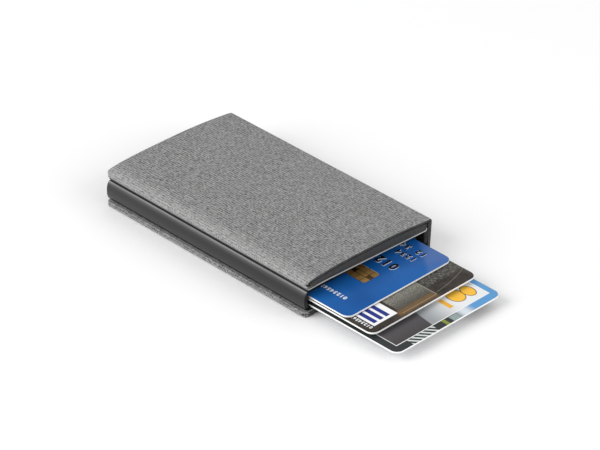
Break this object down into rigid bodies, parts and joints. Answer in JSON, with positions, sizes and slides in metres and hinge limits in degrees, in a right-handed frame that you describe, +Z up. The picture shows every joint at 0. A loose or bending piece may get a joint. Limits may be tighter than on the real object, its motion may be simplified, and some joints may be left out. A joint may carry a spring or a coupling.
{
  "type": "rfid wallet",
  "caption": "Slim card wallet: a metal card case with a stepped lever that fans the cards out of its mouth, glued into a folding fabric book cover with an arched flap.",
  "frame": {"origin": "middle of the underside of the cover's back panel, on the surface it rests on", "axes": "+Z up through the cards, -Y out of the mouth, +Y towards the trigger end, +X towards the cover's spine"},
  "size_m": [0.0655, 0.1495, 0.0159],
  "materials": {
    "anodised_aluminium": "satin anodised",
    "rivet_steel": "turned",
    "black_plastic": "fine moulded",
    "felt": "felted",
    "melange_fabric": "woven melange",
    "grey_lining": "smooth",
    "board": "matte",
    "foam": "closed cell",
    "adhesive": "film",
    "chip_gold": "satin",
    "blue_card": "laminated",
    "brown_card": "laminated",
    "grey_card": "laminated"
  },
  "bodies": {
    "case": {"case_shell": "anodised_aluminium", "end_cap": "black_plastic", "pivot_rivet": "rivet_steel", "guide_rail": "black_plastic", "felt_strip": "felt", "adhesive_pad": "adhesive", "back_fabric": "melange_fabric", "back_board": "board", "back_lining": "grey_lining"},
    "lever": {"ejector_lever": "black_plastic"},
    "top_card": {"card_top": "blue_card", "chip_top": "chip_gold"},
    "middle_card": {"card_middle": "brown_card", "chip_middle": "chip_gold"},
    "bottom_card": {"card_bottom": "grey_card", "chip_bottom": "chip_gold"},
    "spine": {"spine_fabric": "melange_fabric", "spine_lining": "grey_lining"},
    "flap": {"flap_fabric": "melange_fabric", "flap_board": "board", "flap_padding": "foam", "flap_lining": "grey_lining"}
  },
  "joints": [
    {"name": "lever_swing", "type": "hinge", "parent": "case", "child": "lever", "pos_m": [0.02234, 0.0399, 0.0067], "axis": [0, 0, 1], "range_deg": [-60, 0]},
    {"name": "top_card_slide", "type": "slide", "parent": "case", "child": "top_card", "axis": [0, 1, 0], "range_m": [0, 0.02079]},
    {"name": "middle_card_slide", "type": "slide", "parent": "case", "child": "middle_card", "axis": [0, 1, 0], "range_m": [0, 0.03312]},
    {"name": "bottom_card_slide", "type": "slide", "parent": "case", "child": "bottom_card", "axis": [0, 1, 0], "range_m": [0, 0.04517]},
    {"name": "spine_fold", "type": "hinge", "parent": "case", "child": "spine", "pos_m": [0.03259, 0, 0], "axis": [0, 1, 0], "range_deg": [0, 90]},
    {"name": "flap_fold", "type": "hinge", "parent": "spine", "child": "flap", "pos_m": [0.03259, 0, 0.01374], "axis": [0, 1, 0], "range_deg": [0, 84]}
  ],
  "couplings": [
    {"joint": "top_card_slide", "follows": "lever_swing", "m_per_rad": -0.019853},
    {"joint": "middle_card_slide", "follows": "lever_swing", "m_per_rad": -0.031627},
    {"joint": "bottom_card_slide", "follows": "lever_swing", "m_per_rad": -0.043127}
  ]
}
